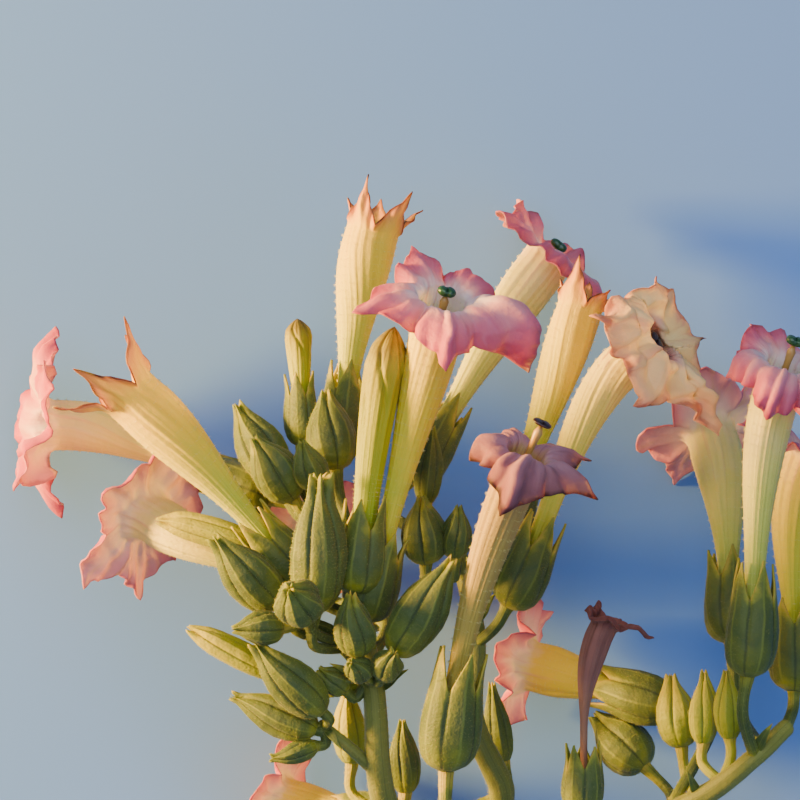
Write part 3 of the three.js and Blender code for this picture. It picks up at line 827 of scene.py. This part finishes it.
def longBud(name, flower, seed):
    # petals still rolled in a club, with five pleats that wind to a bent point
    line = flowerLine(flower)
    length, thick = line["length"], flower["throat"]
    random = np.random.default_rng(seed)
    ribs = ripples(random, (4, 7, 11, 15, 22), (0.004, 0.014))

    def shape(angle, along):
        radius = thick * np.interp(along, [0, 0.1, 0.35, 0.66, 0.84, 0.91, 0.955, 0.985, 1],
                                   [0.5, 0.55, 0.6, 0.86, 1, 0.88, 0.55, 0.24, 0])
        wound = angle + 1.3 * smooth(along, 0.6, 1)
        pleat = fromLobe(wound)
        radius = radius * (1 - 0.2 * smooth(along, 0.5, 0.88) * pleat ** 3
                           + 0.05 * smooth(along, 0.6, 0.9) * np.exp(-((pleat - 0.7) / 0.12) ** 2))
        radius = radius * rippled(np.cos, angle, 0, ribs)
        return onLine(line, cupStart + (length - cupStart) * along, radius, angle)

    piece = closeEnds(shaped("rolled_" + name, "rolled", shape))
    settle(piece, "bud_" + name, skins["budRolled"])
    return piece


longBuds = {
    "long": {
        "foot": (-7, 28, 56), "base": (-7.6, 35, 64), "mouth": (-0.9, 80.4, 68), "facing": (0.25, 0.95, 0.2),
        "throat": 3.6, "cup": 17, "cupRadius": 4.5},
    "upright": {
        "foot": (-8, 44, 50), "base": (-16.6, 60, 42), "mouth": (-17.6, 82, 40), "facing": (-0.05, 1, 0),
        "throat": 2.4, "cup": 13, "cupRadius": 3},
}
rolled = [longBud(name, flower, seed) for seed, (name, flower) in enumerate(longBuds.items(), 40)]

cups = []
for seed, (name, flower) in enumerate({**flowers, **longBuds}.items(), 60):
    piece = joined(cup(flower, seed), "calyx_" + name)
    settle(piece, "cup_" + name, skins["calyxGreen"])
    cups.append(piece)
print("cups made:", len(cups))

# shut calyxes; those of one set stand on one foot and are one piece, and each takes the usual
# values, those of its set and its own
usualBud = {"facing": (0, 1, 0), "gape": 0.5, "slim": False, "skin": "calyxGreen"}
budSets = {
    "bud_twin": {
        "foot": (-7, 26, 58), "base": (-14.3, 32, 68), "mouth": (-13.6, 55.4, 71), "facing": (0, 1, 0.1),
        "radius": 4.7, "gape": 2.2},
    "bud_left": {
        "foot": (-6, 29, 56), "base": (-20.5, 33, 62), "mouth": (-31.3, 45, 66), "facing": (-0.6, 0.8, 0.1),
        "radius": 4.2, "gape": 0.8},
    "bud_round": {
        "foot": (-6, 26, 58), "base": (-16, 32, 73), "mouth": (-18.6, 36.6, 81), "facing": (-0.3, 0.4, 0.85),
        "radius": 4},
    "bud_low_left": {
        "foot": (-6, 25, 58), "base": (-19.7, 29.6, 66), "mouth": (-28.2, 29.2, 69),
        "facing": (-1, -0.1, 0.1), "radius": 2.9},
    "bud_knot": {"foot": (-5, 22, 60), "gape": 1.5, "buds": [
        {"base": (-7, 25, 68), "mouth": (-8.2, 35.5, 73), "facing": (0, 0.9, 0.3), "radius": 3.4,
         "gape": 0.5},
        {"base": (-3, 21.6, 66), "mouth": (-0.8, 25.5, 72), "facing": (0.4, 0.5, 0.8), "radius": 2.6},
        {"base": (-6, 21.6, 66), "mouth": (-8.4, 24, 71), "facing": (-0.4, 0.4, 0.8), "radius": 2.3},
        {"base": (-9, 18.8, 61), "mouth": (-13.8, 22.6, 63), "facing": (-0.8, 0.6, 0), "radius": 2.4}]},
    "bud_right": {
        "foot": (-5, 22, 60), "base": (-1, 25, 67), "mouth": (8.9, 41.2, 72), "facing": (0.5, 0.85, 0.2),
        "radius": 4.2, "gape": 1.4},
    "bud_low_pair": {"foot": (-13, 12.8, 59), "buds": [
        {"base": (-14, 12, 59), "mouth": (-28.6, 17.8, 58), "facing": (-1, 0.4, 0), "radius": 3.4,
         "gape": 1.2},
        {"base": (-14, 9.4, 58), "mouth": (-22, 7.4, 60), "facing": (-1, 0.1, 0.1), "radius": 1.9,
         "gape": 2}]},
    "bud_low": {
        "foot": (-12.8, 12.6, 59), "base": (-13, 15, 62), "mouth": (-24.5, 27.2, 66),
        "facing": (-0.6, 0.8, 0), "radius": 3.9, "gape": 0.7},
    "bud_yellow_low": {
        "foot": (-5, 20, 60), "base": (-20, 21, 57), "mouth": (-35.9, 29.2, 57), "facing": (-0.9, 0.5, 0),
        "radius": 2.4, "skin": "budLime", "slim": True},
    "bud_yellow_up": {
        "foot": (-7, 36, 53), "base": (-24, 43.6, 54), "mouth": (-41.3, 47.4, 52), "facing": (-1, 0.1, 0),
        "radius": 2.5, "skin": "budLime", "slim": True},
    "bud_back_left": {"foot": (-8, 43, 50), "radius": 4, "buds": [
        {"base": (-20.5, 54, 44), "mouth": (-28, 67.4, 42), "facing": (-0.5, 0.9, 0)},
        {"base": (-18, 51, 52), "mouth": (-25, 61.5, 54), "facing": (-0.6, 0.8, 0.1)}]},
    "bud_back_top": {"foot": (-8, 43.5, 50), "buds": [
        {"base": (-10.8, 56, 47), "mouth": (-12.7, 69.6, 46), "facing": (-0.1, 1, 0), "radius": 4.1},
        {"base": (-14.5, 53, 54), "mouth": (-16.6, 61, 58), "facing": (-0.2, 0.9, 0.4), "radius": 3}]},
    "bud_middle": {"foot": (10, 41, 38), "buds": [
        {"base": (4.5, 40, 46), "mouth": (3.6, 51.6, 49), "facing": (-0.1, 1, 0.1), "radius": 3.9},
        {"base": (9.4, 41, 47), "mouth": (9.9, 50, 50), "facing": (0, 1, 0.2), "radius": 2.6},
        {"base": (4.4, 50, 42), "mouth": (5.6, 63.4, 42), "facing": (0.1, 1, 0), "radius": 2.4}]},
    "bud_behind_stem": {
        "foot": (0, -4, 46), "base": (-8.2, 5.5, 42), "mouth": (-8.8, 19, 44), "radius": 2.9,
        "skin": "budLime"},
    "bud_low_middle": {"foot": (16, -1, 31), "base": (1, 0, 30), "mouth": (0.4, 12.8, 32), "radius": 2.8},
    "bud_by_branch": {
        "foot": (16.5, -2, 30), "base": (18, 5, 24), "mouth": (15.8, 19, 26), "facing": (-0.1, 1, 0),
        "radius": 2.3},
    "bud_far": {
        "foot": (46, -3, 38), "base": (42.5, 4.3, 24), "mouth": (33.7, 13.4, 20), "facing": (-0.7, 0.7, 0),
        "radius": 4.6},
    "bud_right_low": {
        "foot": (51, -0.5, 41), "base": (48.6, 8, 32), "mouth": (46.8, 20.6, 32), "radius": 3.6,
        "skin": "budLime"},
    "bud_right_pair": {"foot": (55, 2.5, 44.5), "skin": "budLime", "buds": [
        {"base": (52, 8.8, 41), "mouth": (52.2, 21.6, 42), "radius": 2.5},
        {"base": (56.4, 9.8, 46), "mouth": (55.8, 21.8, 47), "radius": 2.4}]},
}

buds = []
for seed, (node, group) in enumerate(budSets.items(), 100):
    parts = []
    for step, one in enumerate(group.get("buds", [{}])):
        parts += shutCalyx({**usualBud, **group, **one}, seed * 7 + step)
    piece = joined(parts, node.replace("bud_", "shut_"))
    skin = group.get("skin", usualBud["skin"])
    settle(piece, node, skins[skin])
    buds.append(piece)
print("shut calyxes made:", len(buds))


# bracts: small pointed leaves that stand where stalks leave a branch

bractSpots = [  # foot, tip, half width in mm
    ((-5, 19.5, 61), (-12, 23.5, 63.5), 1.0),
    ((-4, 20, 60.5), (-10.5, 20.2, 64), 0.8),
    ((-6, 22, 60), (-11.5, 26.5, 61), 1.1),
    ((-3, 19, 60), (1.5, 22.5, 64), 0.9),
    ((-13, 12.4, 58.5), (-9.8, 8.6, 60.5), 0.8),
    ((-3.6, 6, 54.6), (-5.8, 9.4, 57.8), 0.9),
    ((13.5, 30, 38), (16.5, 35, 40), 0.9),
    ((60.5, 7.6, 48.6), (63.5, 13, 52), 1.0),
    ((51, 0, 41.5), (49, 4.5, 44.5), 0.9),
]


def bract(foot, tip, half):
    foot, tip = np.array([foot, tip], float)
    bend = (foot + tip) / 2 + np.array([0, 0.5, 0.8])
    line = softLine([foot, bend, tip])

    def shape(angle, along):
        # a flat blade with a shallow channel along its middle
        wide = half * np.interp(along, [0, 0.02, 0.15, 0.4, 0.7, 0.9, 1], [0, 0.5, 0.8, 1, 0.62, 0.22, 0])
        thin = 0.16 + 0.1 * np.sin(along * math.pi)  # mm
        radius = np.hypot(wide * np.sin(angle), thin * np.cos(angle))
        flat = np.arctan2(wide * np.sin(angle), thin * np.cos(angle) + 0.3 * wide * np.sin(angle) ** 2)
        return onLine(line, along * line["length"], radius, flat)

    return closeEnds(shaped("bract_part", "bract", shape))


bracts = joined([bract(*spot) for spot in bractSpots], "bracts")
settle(bracts, None, skins["calyxGreen"])
print("bracts made:", len(bractSpots))


# stems

branches = {  # points on the line, and radius at the foot and at the top
    "stem_main": {
        "points": [(22, -37, 4.3), (20, -26, 9), (17, -14, 18), (15, -4, 26)], "foot": 4.2, "top": 3.2},
    "branch_front": {
        "points": [(17, -15, 19), (4, -9, 38), (-2.7, 0, 52), (-4.4, 18.5, 60), (-6, 28, 56), (-8, 44, 50)],
        "foot": 3, "top": 1.4},
    "branch_left": {"points": [(-3.2, 4, 54), (-8, 8.5, 57), (-13.3, 13, 59)], "foot": 1.2, "top": 0.9},
    "branch_back": {
        "points": [(15, -5, 25), (17.5, 1, 32), (12.6, 13, 37), (13, 28, 38), (10, 42, 38)],
        "foot": 2.4, "top": 1.4},
    "branch_right": {
        "points": [(17, -14, 18), (34, -9, 30), (51.7, 0, 42), (60, 6.5, 48), (66, 12, 46)],
        "foot": 2.6, "top": 1.5},
}
endShare = 0.04  # share of the rings that closes a stem at either end
sharpEdge = math.radians(50)


def stem(name, branch):
    line = softLine(branch["points"])

    def shape(angle, along):
        # the first rings close flat on the cut, the last ones in a low dome
        run = np.clip((along - endShare) / (1 - 2 * endShare), 0, 1)
        final = np.clip((along - 1 + endShare) / endShare, 0, 1)
        end = np.clip(along / endShare, 0, 1) * np.sqrt(np.clip(1 - final ** 2, 0, 1))
        radius = branch["foot"] + (branch["top"] - branch["foot"]) * run
        radius = radius * (1 + 0.015 * np.cos(9 * angle + 4 * run) + 0.015 * np.sin(run * 23 + 3 * angle)
                           + 0.012 * np.sin(run * 61 + angle))
        return onLine(line, run * line["length"] + final * branch["top"] * 0.8, radius * end, angle)

    piece = closeEnds(shaped("stalk_" + name, "stem", shape))
    bpy.ops.object.shade_smooth_by_angle(angle=sharpEdge)
    settle(piece, name, skins["stemGreen"])
    return piece


stems = [stem(name, branch) for name, branch in branches.items()]
print("stems made:", len(stems))


# fine hairs, each kind joined in one piece

def hairSkin(name, dark, pale):
    # hairs are clear and catch the light, so they are pale and a little glossy
    material, tree, shader, _, patch = startSkin(name, 120.0)
    colour = addNode(tree, "ValToRGB", {0: patch}, stops=[(0.3, dark), (0.7, pale)])
    feed(tree, shader, {
        "Base Color": colour, "Roughness": 0.45, "Subsurface Weight": 0.2, "Subsurface Scale": 0.0005})
    return material


clearHair = hairSkin("clearHair", "#D2C45E", "#EEDC8C")
leafHair = hairSkin("leafHair", "#7E8438", "#B0A850")
hairLean = 0.16  # how far hairs stray from straight out
hairRoot = 0.03  # mm of a hair below the surface
hairSets = {  # what they stand on, and on which share of the way along; length and half width in mm
    "hairs_trumpets": {
        "on": [piece for name, piece in blooms.items() if name != "withered"] + rolled,
        "part": (0.02, tubeShare), "count": 62000, "length": 0.46, "thick": 0.026, "skin": clearHair},
    "hairs_cups": {"on": cups, "count": 56000, "length": 0.34, "thick": 0.018, "skin": leafHair},
    "hairs_buds": {"on": buds, "count": 50000, "length": 0.32, "thick": 0.018, "skin": leafHair},
    "hairs_stems": {"on": stems, "count": 16000, "length": 0.45, "thick": 0.02, "skin": leafHair},
}


def hairs(name, hair, seed):
    random = np.random.default_rng(seed)
    count = hair["count"]
    faces = []
    for source in hair["on"]:
        mesh = source.data
        area = readAll(mesh.polygons, "area")
        if "part" in hair:
            first = readAll(mesh.polygons, "loop_start", kind=int)
            along = readAll(mesh.uv_layers["flower"].data, "uv", 2)[first, 1]
            area = area * ((along > hair["part"][0]) & (along < hair["part"][1]))
        spots, outs = readAll(mesh.polygons, "center", 3), readAll(mesh.polygons, "normal", 3)
        faces.append(np.column_stack([spots, outs, area]))
    faces = np.vstack(faces)
    # sorted by place, because Blender's extrude lists the faces in another order each run
    faces = faces[np.lexsort(faces[:, :3].T)]
    picked = faces[random.choice(len(faces), size=count, p=faces[:, 6] / faces[:, 6].sum())]
    spot, out, spread = picked[:, :3], picked[:, 3:6], np.sqrt(picked[:, 6:])
    side = unit(np.cross(out, random.normal(size=(count, 3))))
    spot = spot + side * spread * random.uniform(0, 0.5, (count, 1))
    lean = unit(out + hairLean * random.normal(size=(count, 3)))
    across = np.cross(lean, side)
    tall = hair["length"] / 1000 * random.uniform(0.5, 1.3, (count, 1))
    foot = spot - out * hairRoot / 1000
    # each hair is a thin spike on a foot with three corners
    corners = [foot + hair["thick"] / 1000 * (side * math.cos(a) + across * math.sin(a))
               for a in (0, fullTurn / 3, fullTurn * 2 / 3)]
    points = np.stack([*corners, spot + lean * tall], axis=1).reshape(-1, 3)
    sides = np.arange(count)[:, None, None] * 4 + [[0, 1, 3], [1, 2, 3], [2, 0, 3]]
    mesh = bpy.data.meshes.new(name)
    mesh.from_pydata(points.tolist(), [], sides.reshape(-1, 3).tolist(), shade_flat=False)
    piece = bpy.data.objects.new(name, mesh)
    bpy.context.collection.objects.link(piece)
    settle(piece, None, hair["skin"])


for seed, (name, hair) in enumerate(hairSets.items(), 1):
    hairs(name, hair, seed)
print("hairs made")

for template in templates.values():
    bpy.data.objects.remove(template)
